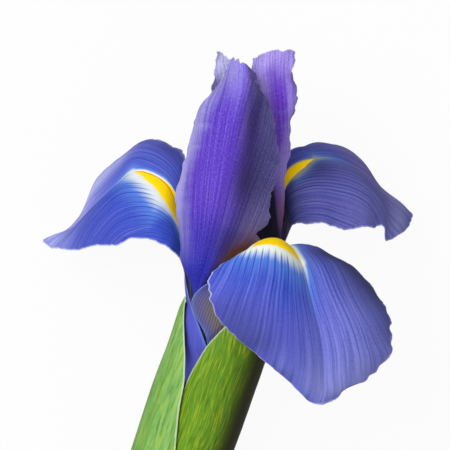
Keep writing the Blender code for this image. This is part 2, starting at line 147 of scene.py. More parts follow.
STANDARD_BACK = [
    ((4.2, 0, 0), (4, -1.5, 0), (4, 1.5, 0), 0, 0),
    ((6, 0, 15), (5.5, -2, 15), (5.5, 2, 15), 0, 0),
    ((9, 0, 28), (8, -4, 28), (8, 4, 28), 0, 0),
    ((12, 0, 40), (9.5, -9, 40), (9.5, 7.5, 40), -1, -1),
    ((13.5, 0, 50), (10, -11.5, 50), (10, 9, 50), -1.5, -1.5),
    ((14, 0, 60), (10, -12, 60), (10, 8.5, 60), -1.5, -1.5),
    ((13.5, 0, 69), (10, -10.5, 69), (13.4, 6, 67.4), -1, -1),
    ((12, 1.5, 74), (9.5, -5, 72), (12.4, 6.5, 73.6), -0.5, -0.5),
    ((10.5, 4, 78.2), (9, 1, 77), (10.9, 6.8, 80), 0, 0),
]
STYLE_ARM = [
    ((2.6, 0, 0), (2.3, -1.2, 0), (2.3, 1.2, 0), 0, 0),
    ((3.8, 0, 12), (3.2, -2, 12), (3.2, 2, 12), 0, 0),
    ((5.3, 0, 24), (4.3, -3, 24), (4.3, 3, 24), 0, 0),
    ((7, 0, 35), (5.8, -4, 35), (5.8, 4, 35), 0, 0),
    ((7.8, 0, 43), (6.8, -4.5, 43.5), (6.8, 4.5, 43.5), 0, 0),
    ((7.6, 0, 48), (6.6, -4.2, 52), (6.6, 4.2, 52), 0, 0),
]
STAMEN_PATH = [(3.8, 0, 0), (5.2, 0, 12), (6.9, 0, 22), (8.1, 0, 28), (9.3, 0, 34)]
FILAMENT_RADIUS, ANTHER_RADIUS, ANTHER_FROM = 0.55, 0.95, 0.6
ARMS = [("left", -118), ("right", 122), ("front", 20)]

# Bracts of the spathe, from foot to tip: height above the throat, radius, and the direction of each margin.
BRACT_LEFT = [
    (-SPATHE_FOOT, FOOT_RADIUS, -178, -6),
    (-60, 5.9, -180, -3),
    (-46, 8.4, -180, -2),
    (-38, 9.9, -184, 0),
    (-28, 11.2, -187, 0),
    (-19, 11.5, -188, -4),
    (-13, 11.6, -187, -11),
    (-6, 11.7, -184, -19),
    (-1, 11.6, -176, -23),
    (4, 11.4, -158, -31),
    (9, 11.4, -130, -43),
    (13.5, 11.5, -106, -57),
    (16.5, 11.5, -93, -68),
    (18.3, 11.4, -86, -76),
]
BRACT_RIGHT = [
    (-SPATHE_FOOT, FOOT_RADIUS, -2, 174),
    (-60, 5.8, 1, 174),
    (-46, 8.1, 2, 174),
    (-38, 9.4, -8, 178),
    (-28, 11.3, -9, 181),
    (-19, 11.8, -11, 181),
    (-13, 12, -16, 181),
    (-6, 12.1, -23, 182),
    (-2, 12.1, -24, 182),
    (8, 12.1, -17, 176),
    (14, 11.9, -6, 164),
    (19, 11.7, 9, 148),
    (23, 11.5, 32, 126),
    (25, 11.4, 54, 92),
]

# Petals: name, form and direction. A form is the ribs, the crease of the midrib, and the height and number
# of the edge's waves.
FALLS = [
    ("fall_left", (FALL_LEFT, 0.5, 0.35, 7), -118),
    ("fall_right", (FALL_RIGHT, 0.4, 0.45, 7), 122),
    ("fall_front", (FALL_FRONT, 0.15, 0.45, 8), 24),
]
STANDARDS = [
    ("standard_front", (STANDARD_FRONT, 0.15, 0.4, 6), -28),
    ("standard_right", (STANDARD_RIGHT, 0.15, 0.5, 6), 74),
    ("standard_back", (STANDARD_BACK, 0.15, 0.5, 6), -166),
]
ARM_FORM = (STYLE_ARM, ARM_CREASE, 0, 0)

# The yellow signal of each fall: at a rib, how much of the minus and of the plus half it covers; how fast
# the pale halo round it fades on each half; and between which ribs the halo narrows towards the root.
SIGNALS = dict(
    fall_left=dict(
        edges=[
            (4.7, 0, 0), (5, 0.15, 0.25), (6, 0.12, 0.28), (6.5, 0.1, 0.34),
            (7, 0.04, 0.3), (7.5, 0.02, 0.2), (8.2, 0.02, 0.1), (9, 0, 0),
        ],
        fading=(4.5, 0.8),
        narrows=(7.2, 6),
    ),
    fall_right=dict(
        edges=[
            (4, 0.4, 0.02), (5, 0.28, 0.02), (5.5, 0.22, 0.02), (6, 0.16, 0.01), (6.5, 0.05, 0), (6.8, 0, 0),
        ],
        fading=(2, 7),
        narrows=(5.5, 4.5),
    ),
    fall_front=dict(
        edges=[
            (2, 0.6, 0), (4, 0.8, 0), (4.9, 0.78, 0), (5.05, 0.5, 0), (5.25, 0.25, 0), (5.6, 0, 0),
        ],
        fading=(0.75, 2),
        narrows=(3, 2),
    ),
)
HALF_BLEND = 0.1  # share of a half, next to the midrib, over which the fading changes
NARROWING = 3  # times the fading, added where the halo is narrow
STREAK_TOP = -0.9  # of the pale streak at a signal's tip, as mm outside the signal
STREAK_FADE = (1.5, 0.32)  # of the streak, for each mm aside and onward
STREAK_BACK = 4  # times as fast towards the root


# ---------------- surfaces

def unit(vectors):
    return vectors / np.maximum(np.linalg.norm(vectors, axis=-1, keepdims=True), 1e-12)


def normals(grid):
    return unit(np.cross(np.gradient(grid, axis=0), np.gradient(grid, axis=1)))


def smooth_step(value, low, high):
    share = np.clip((value - low) / (high - low), 0, 1)
    return share * share * (3 - 2 * share)


def axis_frame(lean, tilt, shift=0):
    """The place at the throat whose Z runs along an axis of that lean and tilt, and whose X faces up."""
    lean, tilt = math.radians(lean), math.radians(tilt)
    along = Vector((math.sin(lean) * math.cos(tilt), math.cos(lean) * math.cos(tilt), math.sin(tilt)))
    facing = (Vector((0, 0, 1)) - along * along.z).normalized()
    turn = Matrix((facing, along.cross(facing), along)).transposed().to_4x4()
    return Matrix.Translation(Vector(THROAT) + Vector((shift, 0, 0))) @ turn


FLOWER = axis_frame(FLOWER_LEAN, FLOWER_TILT)
STALK = axis_frame(STEM_LEAN, STEM_TILT, STEM_SHIFT)


def turned(place, direction):
    """The place of a petal that springs in that direction round the axis of a place."""
    return place @ Matrix.Rotation(math.radians(direction), 4, "Z")


def placed(points, place):
    """Points given on the axes of a place, in the frame's own axes."""
    turn = np.array(place)
    return points @ turn[:3, :3].T + turn[:3, 3]


def smooth_line(points, stations):
    """Points on a smooth curve through the given points, at stations counted in points from the first."""
    points = np.array(points, float)
    chord = np.linalg.norm(np.diff(points, axis=0), axis=1)[:, None]
    slope = np.diff(points, axis=0) / chord
    inner = (chord[1:] * slope[:-1] + chord[:-1] * slope[1:]) / (chord[1:] + chord[:-1])
    tangent = np.vstack([slope[:1], inner, slope[-1:]])
    start = np.minimum(stations.astype(int), len(points) - 2)
    f = (stations - start)[:, None]
    hold = 2 * f**3 - 3 * f**2
    return (
        (hold + 1) * points[start]
        + (f**3 - 2 * f**2 + f) * chord[start] * tangent[start]
        - hold * points[start + 1]
        + (f**3 - f**2) * chord[start] * tangent[start + 1]
    )


def petal_surface(form, stations, side):
    """Points of a petal's middle surface, a row for each station, at the sides given for each row."""
    ribs, crease, wave, waves = form
    middle, minus, plus = (smooth_line([rib[k] for rib in ribs], stations)[:, None] for k in range(3))
    arch = [np.interp(stations, range(len(ribs)), [rib[k] for rib in ribs])[:, None, None] for k in (3, 4)]
    inward = unit(np.cross(np.gradient(middle[:, 0], axis=0), (plus - minus)[:, 0]))[:, None]
    side = side[:, :, None]
    trough = middle + side * (plus - minus) / 2 + side**2 * ((plus + minus) / 2 - middle)
    folded = middle + np.abs(side) * (np.where(side < 0, minus, plus) - middle)
    swell = 4 * np.abs(side) * (1 - np.abs(side)) * np.where(side < 0, arch[0], arch[1])
    along = stations[:, None, None] / stations[-1]
    near_edge = np.abs(side) ** 3 * np.minimum(1, 3 * along)
    ruffle = wave * np.sin(TURN * waves * along + WAVE_LAG * side) * near_edge
    return (1 - crease) * trough + crease * folded + (swell + ruffle) * inward


def bract_surface(ribs, tuck, stations, share):
    """Points of a bract wrapped round the stem's axis; its margins are tucked in by tuck."""
    height, radius, start, end = smooth_line(ribs, stations).T[:, :, None]
    turn = np.radians(start + (end - start) * share)
    near_margin = np.clip(2 * np.abs(2 * share - 1) - 1, 0, 1) ** 2
    opened = np.clip((radius - FOOT_RADIUS) / (SPATHE_RADIUS - FOOT_RADIUS), 0, 1)
    reach = radius - tuck * opened * near_margin
    return np.stack([reach * np.cos(turn), reach * np.sin(turn), height + 0 * turn], axis=-1)


def lengths(points, axis):
    """How far each point of a grid is from the first along its row or column."""
    steps = np.linalg.norm(np.diff(points, axis=axis), axis=-1)
    return np.concatenate([np.zeros_like(np.take(steps, [0], axis)), np.cumsum(steps, axis)], axis)


def from_midrib(across):
    """Lengths across each row, counted from its middle column: below 0 on the minus side."""
    return across - across[:, across.shape[1] // 2, None]


def from_margin(across, down):
    """How far each point is from the nearest side margin or from the tip."""
    return np.minimum(np.minimum(across, across[:, -1:] - across), down[-1:] - down)


def ripples(points, size, seed, count=9):
    """Smooth random values of about -1 to 1 over points in space, with features of that size."""
    draw = np.random.default_rng(seed)
    ways = unit(draw.normal(size=(count, 3))) * TURN / (size * draw.uniform(0.7, 1.5, (count, 1)))
    waves = np.sin(points @ ways.T + draw.uniform(0, TURN, count))
    return waves.sum(-1) / 3.2


# ---------------- solids

def finish(name, node, points, faces, fields, skin):
    """A piece made of points in mm, with its fields as attributes, that stands for a CAD node."""
    mesh = bpy.data.meshes.new(name)
    mesh.from_pydata((points * MM).tolist(), [], faces)
    mesh.update()
    for label, values in fields.items():
        mesh.attributes.new(label, "FLOAT", "POINT").data.foreach_set("value", values.astype(np.float32))
    mesh.shade_smooth()
    mesh.materials.append(skin)
    piece = bpy.data.objects.new(name, mesh)
    bpy.context.collection.objects.link(piece)
    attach(piece, "root")
    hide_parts(node)


def sheet(name, node, grid, thick, place, fields, skin):
    """A closed thin solid round a grid of points. Its field outer is 1 on the face below the normal."""
    rows, columns = grid.shape[:2]
    half = normals(grid) * thick[:, :, None] / 2
    points = np.concatenate([(grid + half).reshape(-1, 3), (grid - half).reshape(-1, 3)])
    count = rows * columns
    at = np.arange(count).reshape(rows, columns)
    a, b, c, d = at[:-1, :-1], at[:-1, 1:], at[1:, 1:], at[1:, :-1]
    inner = np.stack([a, d, c, b], -1).reshape(-1, 4)
    outer = np.stack([a, b, c, d], -1).reshape(-1, 4) + count
    rim = np.concatenate([at[0, :-1], at[:-1, -1], at[-1, :0:-1], at[:0:-1, 0]])
    after = np.roll(rim, -1)
    wall = np.stack([rim + count, rim, after, after + count], -1)
    both = {label: np.tile(values.reshape(-1), 2) for label, values in fields.items()}
    both["outer"] = np.repeat([0, 1], count)
    faces = np.concatenate([inner, outer, wall]).tolist()
    finish(name, node, placed(points, place), faces, both, skin)


def rod(name, node, centres, radii, place, fields, skin, sides, shape):
    """A closed rod round a line of centres; shape gives what its radius is multiplied by at each angle."""
    along = unit(np.gradient(centres, axis=0))
    facing = unit(np.cross(along, np.cross([1, 0, 0], along)))
    sideways = np.cross(along, facing)
    angle = np.linspace(0, TURN, sides, endpoint=False)
    reach = radii[:, None] * shape(angle)[None]
    ring = np.cos(angle)[None, :, None] * facing[:, None] + np.sin(angle)[None, :, None] * sideways[:, None]
    points = centres[:, None] + reach[:, :, None] * ring
    at = np.arange(len(centres) * sides).reshape(-1, sides)
    a, b = at[:-1], np.roll(at, 1, axis=1)[:-1]
    c, d = np.roll(at, 1, axis=1)[1:], at[1:]
    faces = np.stack([a, b, c, d], -1).reshape(-1, 4).tolist()
    faces += [at[0].tolist(), at[-1][::-1].tolist()]
    spread = {label: np.repeat(values, sides) for label, values in fields.items()}
    finish(name, node, placed(points.reshape(-1, 3), place), faces, spread, skin)


# ---------------- materials

VEIN_BLUE = (30, 40, 142)
BRIGHT_BLUE = (46, 84, 192)
PALE_EDGE = (176, 180, 232)
# Painted light: a pale line along the very rim of a petal, for light shining through its thin margin.
PAINTED_RIM_LIGHT = (206, 208, 240)
SKY = (96, 142, 216)
YELLOW = (255, 210, 0)
# Painted shade: the dark ochre line laid along the crease in a signal's midrib.
CREASE_SHADE = (150, 104, 0)
HAFT_BLUE = (88, 92, 188)
OLIVE = (140, 140, 60)
BROWN = (112, 70, 44)
BLUSH = (140, 84, 34)
UNDERSIDE = (104, 104, 180)
HAFT_RIM = (96, 130, 214)
# Painted shadow, laid where a standard lies in shade, as in the gaps between the petals.
PAINTED_SHADOW = (24, 18, 46)
ARM_HEART = (70, 50, 150)
ARM_MARGIN = (120, 110, 205)
ARM_VEIN = (45, 30, 110)
ARM_ROOT = (190, 190, 150)
FILAMENT = (206, 204, 226)
POLLEN_DARK = (196, 168, 92)
POLLEN_LIGHT = (244, 226, 160)
LEAF_INSIDE = (190, 200, 150)
FLOOR_DARK = (52, 52, 52)
FLOOR_LIGHT = (56, 56, 56)
WHITE = (1, 1, 1, 1)


def linear(tone):
    """A colour of 0 to 255, as a screen shows it, made linear; a socket stays as it is."""
    if isinstance(tone, bpy.types.NodeSocket):
        return tone
    shown = np.array(tone) / 255
    values = np.where(shown > 0.04045, ((shown + 0.055) / 1.055) ** 2.4, shown / 12.92)
    return (*(float(value) for value in values), 1)


class Shade:
    """A material and its nodes, with a short method for each kind of node used here. Its paint is the colour
    that has been laid so far."""

    def __init__(self, name, rough=0.5, specular=0.35, sheen=0, under_skin=0):
        self.material = bpy.data.materials.new(name)
        self.material.use_nodes = True
        self.tree = self.material.node_tree
        self.shader = self.tree.nodes["Principled BSDF"]
        constants = {
            "Roughness": rough,
            "Specular IOR Level": specular,
            "Sheen Weight": sheen,
            "Sheen Roughness": 0.4,
            "Subsurface Weight": under_skin,
            "Subsurface Scale": 0.0008,
            "Subsurface Radius": (0.7, 0.5, 0.5),
        }
        for label, value in constants.items():
            self.shader.inputs[label].default_value = value

    def feed(self, socket, value):
        if isinstance(value, bpy.types.NodeSocket):
            self.tree.links.new(value, socket)
        else:
            socket.default_value = value

    def node(self, kind, inputs, **settings):
        made = self.tree.nodes.new(kind)
        for label, value in settings.items():
            setattr(made, label, value)
        for label, value in inputs.items():
            self.feed(made.inputs[label], value)
        return made

    def field(self, name):
        return self.node("ShaderNodeAttribute", {}, attribute_name=name).outputs["Fac"]

    def place(self):
        return self.node("ShaderNodeTexCoord", {}).outputs["Object"]

    def math(self, operation, first, second=0):
        return self.node("ShaderNodeMath", {0: first, 1: second}, operation=operation).outputs[0]

    def plus(self, first, second):
        return self.math("ADD", first, second)

    def times(self, first, second):
        return self.math("MULTIPLY", first, second)

    def swing(self, value, size):
        """A value of 0 to 1 turned into one that swings by half that size either way."""
        return self.times(self.plus(value, -0.5), size)

    def step(self, value, low, high, start=0, end=1):
        """Goes smoothly from start, where the value is at low, to end, where it is at high."""
        ends = {"Value": value, "From Min": low, "From Max": high, "To Min": start, "To Max": end}
        return self.node("ShaderNodeMapRange", ends, interpolation_type="SMOOTHSTEP").outputs["Result"]

    def mix_value(self, share, first, second):
        return self.plus(first, self.times(share, self.math("SUBTRACT", second, first)))

    def mix(self, share, first, second):
        inputs = {0: share, 6: linear(first), 7: linear(second)}
        return self.node("ShaderNodeMix", inputs, data_type="RGBA").outputs[2]

    def lay(self, tone, share):
        self.paint = self.mix(share, self.paint, tone)

    def tint(self, tone, value, low, high, strength=1):
        """Lays a tone: none of it where the value is at low, and its full strength where it is at high."""
        self.lay(tone, self.step(value, low, high, 0, strength))

    def vector(self, x, y):
        return self.node("ShaderNodeCombineXYZ", {0: x, 1: y}).outputs[0]

    def noise(self, place, scale, detail=2):
        inputs = {"Vector": place, "Scale": scale, "Detail": detail}
        return self.node("ShaderNodeTexNoise", inputs).outputs["Fac"]

    def lines(self, phase, often, sharp):
        """Thin lines, 1 on them and 0 between, so many to each vein."""
        wave = self.math("COSINE", self.times(phase, often * TURN))
        return self.math("POWER", self.plus(self.times(wave, 0.5), 0.5), sharp)

    def done(self, height, distance):
        """Joins up the paint and a bump from that height, so many mm high."""
        bump = {"Height": height, "Distance": distance * MM, "Strength": 1}
        self.feed(self.shader.inputs["Base Color"], self.paint)
        self.feed(self.shader.inputs["Normal"], self.node("ShaderNodeBump", bump).outputs[0])
        return self.material


# Patterns of the petals.
VEINS_PART = (52, 60)  # mm down a petal, between which each vein parts in two
SIGNAL_SOFT = 0.3  # mm on each side of a signal's edge, over which it fades
ROOT_GLOW = 0.5  # of a fall's outer face at its root
ROOT_GLOWS = (0.075, 0.02)  # shares of a fall's length between which it comes in


def petal_patterns(skin, threads, blend=0.6):
    """The fields of a petal and its patterns: veins, so many threads to each of them, and grain. Its halves
    blend over so many mm on each side of the midrib."""
    names = ("vein", "down", "aside", "side", "rim", "along", "outer", "blush", "shadow", "pale")
    look = {name: skin.field(name) for name in names}
    vein, down = look["vein"], look["down"]
    parted = skin.step(down, *VEINS_PART)
    look["plus"] = skin.step(look["aside"], -blend, blend)
    look["line"] = skin.mix_value(parted, skin.lines(vein, 1, 9), skin.lines(vein, 2, 6))
    look["fine"] = skin.lines(vein, 3, 3)
    look["streak"] = skin.noise(skin.vector(skin.times(vein, 0.3), skin.times(down, 0.04)), 1)
    look["thread"] = skin.noise(skin.vector(vein, skin.times(down, 0.014)), threads, 3)
    look["cells"] = skin.noise(skin.vector(skin.times(vein, 2.2), skin.times(down, 1.1)), 1.6, 3)
    return look


def petal_relief(skin, look):
    """Height of the fine veins and the papery cells between them."""
    ribs = skin.plus(skin.times(look["line"], -0.15), skin.times(look["thread"], 1.1))
    return skin.plus(ribs, look["cells"])


def paint_underside(skin, look):
    """The outer face of a fall: a blue haft, a duller blade, dark threads and lighter margins."""
    skin.paint = HAFT_BLUE
    skin.tint(UNDERSIDE, look["along"], 0.3, 0.55)
    skin.tint(VEIN_BLUE, look["thread"], 0.55, 0.35, 0.5)
    skin.lay(VEIN_BLUE, skin.times(look["fine"], 0.3))
    skin.tint(HAFT_RIM, look["rim"], 1.2, 0, 0.6)


def paint_halves(skin, look, signal, tones):
    """The two halves of a fall, bluer round the signal, with threads, cells and fine veins."""
    uneven = skin.plus(signal, skin.swing(look["streak"], 8))
    bright = skin.mix_value(look["plus"], *tones["bright"])
    skin.paint = skin.mix(look["plus"], tones["minus"], tones["plus"])
    skin.lay(BRIGHT_BLUE, skin.times(skin.step(uneven, -17, -4), bright))
    skin.tint(PALE_EDGE, look["thread"], 0.5, 0.66, 0.12)
    skin.tint(VEIN_BLUE, look["thread"], 0.5, 0.34, 0.35)
    skin.tint(VEIN_BLUE, look["cells"], 0.5, 0.3, 0.25)
    skin.lay(VEIN_BLUE, skin.times(look["fine"], 0.15))


def paint_halo(skin, look, signal, tones):
    """A sky blue and a pale halo round the signal, and the veins that fan out of it."""
    rays = skin.plus(skin.field("halo"), skin.swing(look["thread"], 2))
    near_signal = skin.plus(rays, skin.times(look["line"], -0.5))
    skin.tint(SKY, near_signal, -7.5, -1.2, 0.75)
    skin.tint(tones["halo"], near_signal, -3.7, -0.8, 0.95)
    veins = skin.times(look["line"], skin.step(look["streak"], 0.35, 0.55, 0.4, 1))
    veins = skin.times(veins, skin.step(signal, -20, -3, 0.3, 0.8))
    skin.lay(VEIN_BLUE, skin.times(veins, skin.step(signal, -0.8, -3)))


def paint_margin(skin, look, tones):
    """The fringed pale margin of a fall, its pale spots, some of them painted light, its dark spots of
    painted shade and its painted rim light.
    """
    margin = skin.mix_value(look["plus"], *tones["margin"])
    fringe = skin.swing(look["thread"], 1.6)
    worn = skin.plus(skin.math("DIVIDE", look["rim"], margin), fringe)
    skin.tint(PALE_EDGE, worn, 1, 0, 0.8)
    # Pale spots: the left fall's widen its pale margin; the front fall's is painted light on its lower
    # blade.
    skin.lay(PALE_EDGE, skin.times(look["pale"], skin.plus(fringe, 1)))
    # Painted shade: the fall's dark tone over its shadow spots.
    skin.lay(tones["dark"], look["shadow"])
    # Painted light: a pale line along the very rim.
    skin.tint(PAINTED_RIM_LIGHT, look["rim"], 0.4, 0.1, tones["rim"])


def fall_shade(name, tones):
    """The skin of a fall: a yellow signal in a halo, from which veins fan out to a pale margin. The signal
    glows faintly, and so does the outer face near the root."""
    skin = Shade(name, rough=0.6, specular=0.1, under_skin=0.12)
    look = petal_patterns(skin, 3.2, tones["blend"])
    signal = skin.field("signal")
    crease = skin.math("ABSOLUTE", skin.plus(look["aside"], 0.1))
    skin.paint = YELLOW
    # Painted shade along the crease of the signal's midrib.
    skin.tint(CREASE_SHADE, crease, 0.3, 0.1, tones["crease"])
    yellow = skin.paint
    paint_underside(skin, look)
    underside = skin.paint
    paint_halves(skin, look, signal, tones)
    paint_halo(skin, look, signal, tones)
    paint_margin(skin, look, tones)
    ragged = skin.plus(signal, skin.swing(look["thread"], 1))
    skin.tint(yellow, ragged, -SIGNAL_SOFT, SIGNAL_SOFT)
    skin.lay(underside, look["outer"])
    skin.lay(skin.mix(skin.lines(look["vein"], 0.7, 2), OLIVE, BROWN), look["blush"])
    # Painted light: an emission lifts the signal, and the outer face near the root, where they lie in shade.
    signal_glow = skin.step(ragged, -SIGNAL_SOFT, SIGNAL_SOFT, 0, tones["glow"])
    root_glow = skin.step(look["along"], *ROOT_GLOWS, 0, ROOT_GLOW)
    glow = skin.mix_value(look["outer"], signal_glow, root_glow)
    skin.feed(skin.shader.inputs["Emission Strength"], glow)
    skin.feed(skin.shader.inputs["Emission Color"], skin.mix(look["outer"], YELLOW, HAFT_BLUE))
    return skin.done(petal_relief(skin, look), 0.05)


def standard_margin(skin, look, tones):
    """How strongly a standard's pale margin shows: less on its plus side, near its root and at its tip."""
    fading = skin.plus(look["rim"], skin.swing(look["streak"], 7))
    near_rim = skin.step(fading, tones["margin"], 1.5)
    pale = skin.times(near_rim, skin.step(look["side"], 0.2, -0.6, tones["plus_edge"], 0.95))
    at_tip = skin.step(look["along"], 0.72, 0.9, 1, 0.6)
    return skin.times(pale, skin.times(skin.step(look["along"], 0.3, 0.5), at_tip))


def standard_shade(name, tones):
    """The papery skin of a standard: straight fine veins, a paler margin, brown blushes and spots of painted
    shadow, as in the gaps near the flower's heart; the front standard's plus side is darker as painted
    shade.
    """
    skin = Shade(name, rough=0.6, specular=0.12, under_skin=0.12)
    look = petal_patterns(skin, 2.4)
    skin.paint = tones["root"]
    skin.tint(tones["middle"], look["along"], 0.3, 0.55)
    # On the front standard the plus side's tone is painted shade, for the side turned from the light.
    skin.tint(tones["plus"], look["side"], 0.35, 0.8, 0.85)
    skin.tint(tones["edge"], look["along"], 0.75, 1, 0.2)
    skin.lay(tones["edge"], standard_margin(skin, look, tones))
    skin.lay(tones["edge"], look["pale"])
    skin.tint(PALE_EDGE, look["thread"], 0.5, 0.66, 0.12)
    skin.tint(tones["dark"], look["thread"], 0.5, 0.34, 0.45)
    skin.lay(tones["dark"], skin.times(look["line"], 0.25))
    skin.tint(PALE_EDGE, look["cells"], 0.5, 0.7, 0.14)
    skin.tint(tones["dark"], look["cells"], 0.5, 0.3, 0.3)
    # Painted light: a pale line along the very rim.
    skin.tint(PAINTED_RIM_LIGHT, look["rim"], 0.4, 0, 0.25)
    skin.lay(BLUSH, look["blush"])
    # Painted shadow over the standard's shadow spots.
    skin.lay(PAINTED_SHADOW, look["shadow"])
    return skin.done(petal_relief(skin, look), 0.13)


def arm_shade(name):
    """The skin of a style arm: violet, with lighter margins and a pale root."""
    skin = Shade(name, rough=0.5, sheen=0.15, under_skin=0.2)
    look = petal_patterns(skin, 2.3)
    skin.paint = ARM_HEART
    skin.tint(ARM_MARGIN, look["rim"], 3, 0)
    skin.lay(ARM_VEIN, skin.times(look["line"], 0.4))
    skin.tint(ARM_ROOT, look["along"], 0.45, 0.1)
    return skin.done(petal_relief(skin, look), 0.12)


def stamen_shade(name):
    """The skin of a stamen: a pale filament and an anther grained with pollen."""
    skin = Shade(name, rough=0.75, specular=0.2, sheen=0.1, under_skin=0.1)
    pollen = skin.noise(skin.place(), 2600)
    anther = skin.field("anther")
    grains = skin.mix(skin.step(pollen, 0.35, 0.65), POLLEN_DARK, POLLEN_LIGHT)
    skin.paint = FILAMENT
    skin.lay(grains, anther)
    return skin.done(skin.times(pollen, skin.step(anther, 0, 1, 0.15, 1)), 0.15)


def leaf_shade(name, tones):
    """The skin of a bract or stem: fibres, broken yellowish streaks, a waxy bloom and dry margins; where the
    tones have a shaded olive, painted shade on one side.
    """
    skin = Shade(name, rough=0.5, specular=0.15, under_skin=0.1)
    fibre, height = skin.field("fibre"), skin.field("height")
    fibres = skin.noise(skin.vector(fibre, skin.times(height, 0.03)), 3.2, 4)
    patches = skin.noise(skin.vector(skin.times(fibre, 0.35), skin.times(height, 0.03)), 1.2, 3)
    mottle = skin.noise(skin.vector(fibre, skin.times(height, 0.16)), 1.3, 4)
    skin.paint = tones["body"]
    skin.tint(tones["bloom"], patches, 0.42, 0.62)
    skin.tint(tones["streak"], fibres, 0.5, 0.68, 0.6)
    skin.tint(tones["dark"], mottle, 0.5, 0.7, 0.6)
    skin.tint(tones["streak"], mottle, 0.45, 0.3, 0.5)
    # Painted shade: the right bract's side that turns from the light, partly its own darker olive.
    if "far" in tones:
        skin.tint(tones["far"], skin.field("turn"), *SHADED_SIDE)
    worn = skin.plus(skin.field("rim"), skin.swing(fibres, 0.5))
    skin.tint(tones["margin"], worn, 0.5, 0.25)
    outside = skin.paint
    skin.lay(LEAF_INSIDE, 0.5)
    skin.lay(outside, skin.field("outer"))
    return skin.done(skin.plus(skin.times(fibres, 1.2), skin.times(mottle, 0.6)), 0.12)


# ---------------- petals

PETAL_SIZE = (220, 120)  # rows and columns of faces
ARM_SIZE = (110, 48)
BLADE_FROM = (0.2, 0.45)  # shares of a petal's length between which its haft becomes the blade
TEETH_FROM = (0.25, 0.45)  # and between which its teeth come in
TEETH_MEAN = 0.1  # share of their height that is cut off all along
BROAD_TEETH, BROAD_SIZE = 0.7, 2.2  # share of their height, and length in mm
FINE_TEETH, FINE_SIZE = 0.4, 0.9
TIP_TEETH_SIZE = 1.6
FORK_WIDTH = 0.22  # as a share of each half
VEIN_WANDER, WANDER_SIZE = 0.12, 24
FLUTE_WANDER = 12  # mm over which the flutes shift
RELIEF_FROM = 1.5  # mm from the margin to the veins' full relief
MARGIN_REACH = 2.5  # mm over which flutes and frills fade inwards
RIM_THICK, RIM_WIDTH = 0.3, 4  # share of the thickness left at a margin, and mm to the full one
RIDGE_THICK, RIDGE_WIDTH = 0.15, 1.2


def trimmed_side(side, half, edges, look):
    """The side of each point once the margins have their small teeth and notches."""
    seed = look["seed"]
    share = np.linspace(0, 1, len(side))
    kept = side.copy()
    for way, column in ((-1, 0), (1, -1)):
        edge = edges[:, column]
        cut = TEETH_MEAN + BROAD_TEETH * ripples(edge, BROAD_SIZE, seed)
        cut = cut + FINE_TEETH * ripples(edge, FINE_SIZE, seed + 1)
        cut = look["teeth"][column] * cut * smooth_step(share, *TEETH_FROM)
        for notch_way, at, depth, length in look.get("notches", ()):
            if notch_way == way:
                cut += depth * np.exp(-(((share - at) / length) ** 2))
        pull = (cut / np.maximum(half[:, column], 1))[:, None] * np.abs(side) ** 4
        kept = np.where(np.sign(side) == way, side * (1 - pull), kept)
    return kept


def trimmed_tip(grid, look):
    """The grid with its tip cut into small teeth, and forked in the middle where the look has a fork."""
    rows, columns = grid.shape[:2]
    side = np.linspace(-1, 1, columns)
    length = lengths(grid, 0)[-1]
    teeth = look["tip_teeth"] * ripples(grid[-1], TIP_TEETH_SIZE, look["seed"] + 2)
    cut = teeth + look.get("fork", 0) * np.exp(-((side / FORK_WIDTH) ** 2))
    row = np.arange(rows) / (rows - 1)
    made = np.empty_like(grid)
    for column in range(columns):
        at = row * (1 - cut[column] / length[column] * row**6)
        for axis in range(3):
            made[:, column, axis] = np.interp(at, row, grid[:, column, axis])
    return made


def petal_grid(form, stations, side, blade, look):
    """A petal's middle surface with its teeth, its notches and, where the look says so, a wider haft."""
    plain = petal_surface(form, stations, side)
    half = np.abs(from_midrib(lengths(plain, 1)))
    kept = trimmed_side(side, half, plain, look)
    kept = kept * (1 + look.get("widen", 0) * (1 - blade) * (kept > 0))
    return trimmed_tip(petal_surface(form, stations, kept), look)


def spots(along, side, marks):
    """Soft marks on a petal, each at a share of its length and a side, with its sizes and strength."""
    total = np.zeros_like(along)
    for at, aside, length, width, strength in marks:
        total += strength * np.exp(-(((along - at) / length) ** 2) - ((side - aside) / width) ** 2)
    return np.clip(total, 0, 1)


def petal_fields(grid, stations, side, look):
    """What the material reads at each point: mm down and across, veins counted aside, and the spots."""
    across, down = lengths(grid, 1), lengths(grid, 0)
    aside = from_midrib(across)
    midrib = down[:, down.shape[1] // 2, None] + 0 * side
    along = (stations / stations[-1])[:, None] + 0 * side
    spread = 1 + np.maximum(0, midrib - look["fan_from"]) / look["fan"]
    vein = aside / spread / look["spacing"] + VEIN_WANDER * ripples(grid, WANDER_SIZE, look["seed"] + 3)
    fields = {"vein": vein, "down": midrib, "aside": aside, "side": side, "along": along}
    fields["rim"] = from_margin(across, down)
    for mark in ("blush", "shadow", "pale"):
        fields[mark] = spots(along, side, look.get(mark, ()))
    return fields


def points_at(grid, rows, share):
    """Points on those rows of a grid, at shares of the way across it."""
    at = share * (grid.shape[1] - 1)
    low = np.minimum(at.astype(int), grid.shape[1] - 2)
    rest = (at - low)[:, None]
    return grid[rows, low] * (1 - rest) + grid[rows, low + 1] * rest


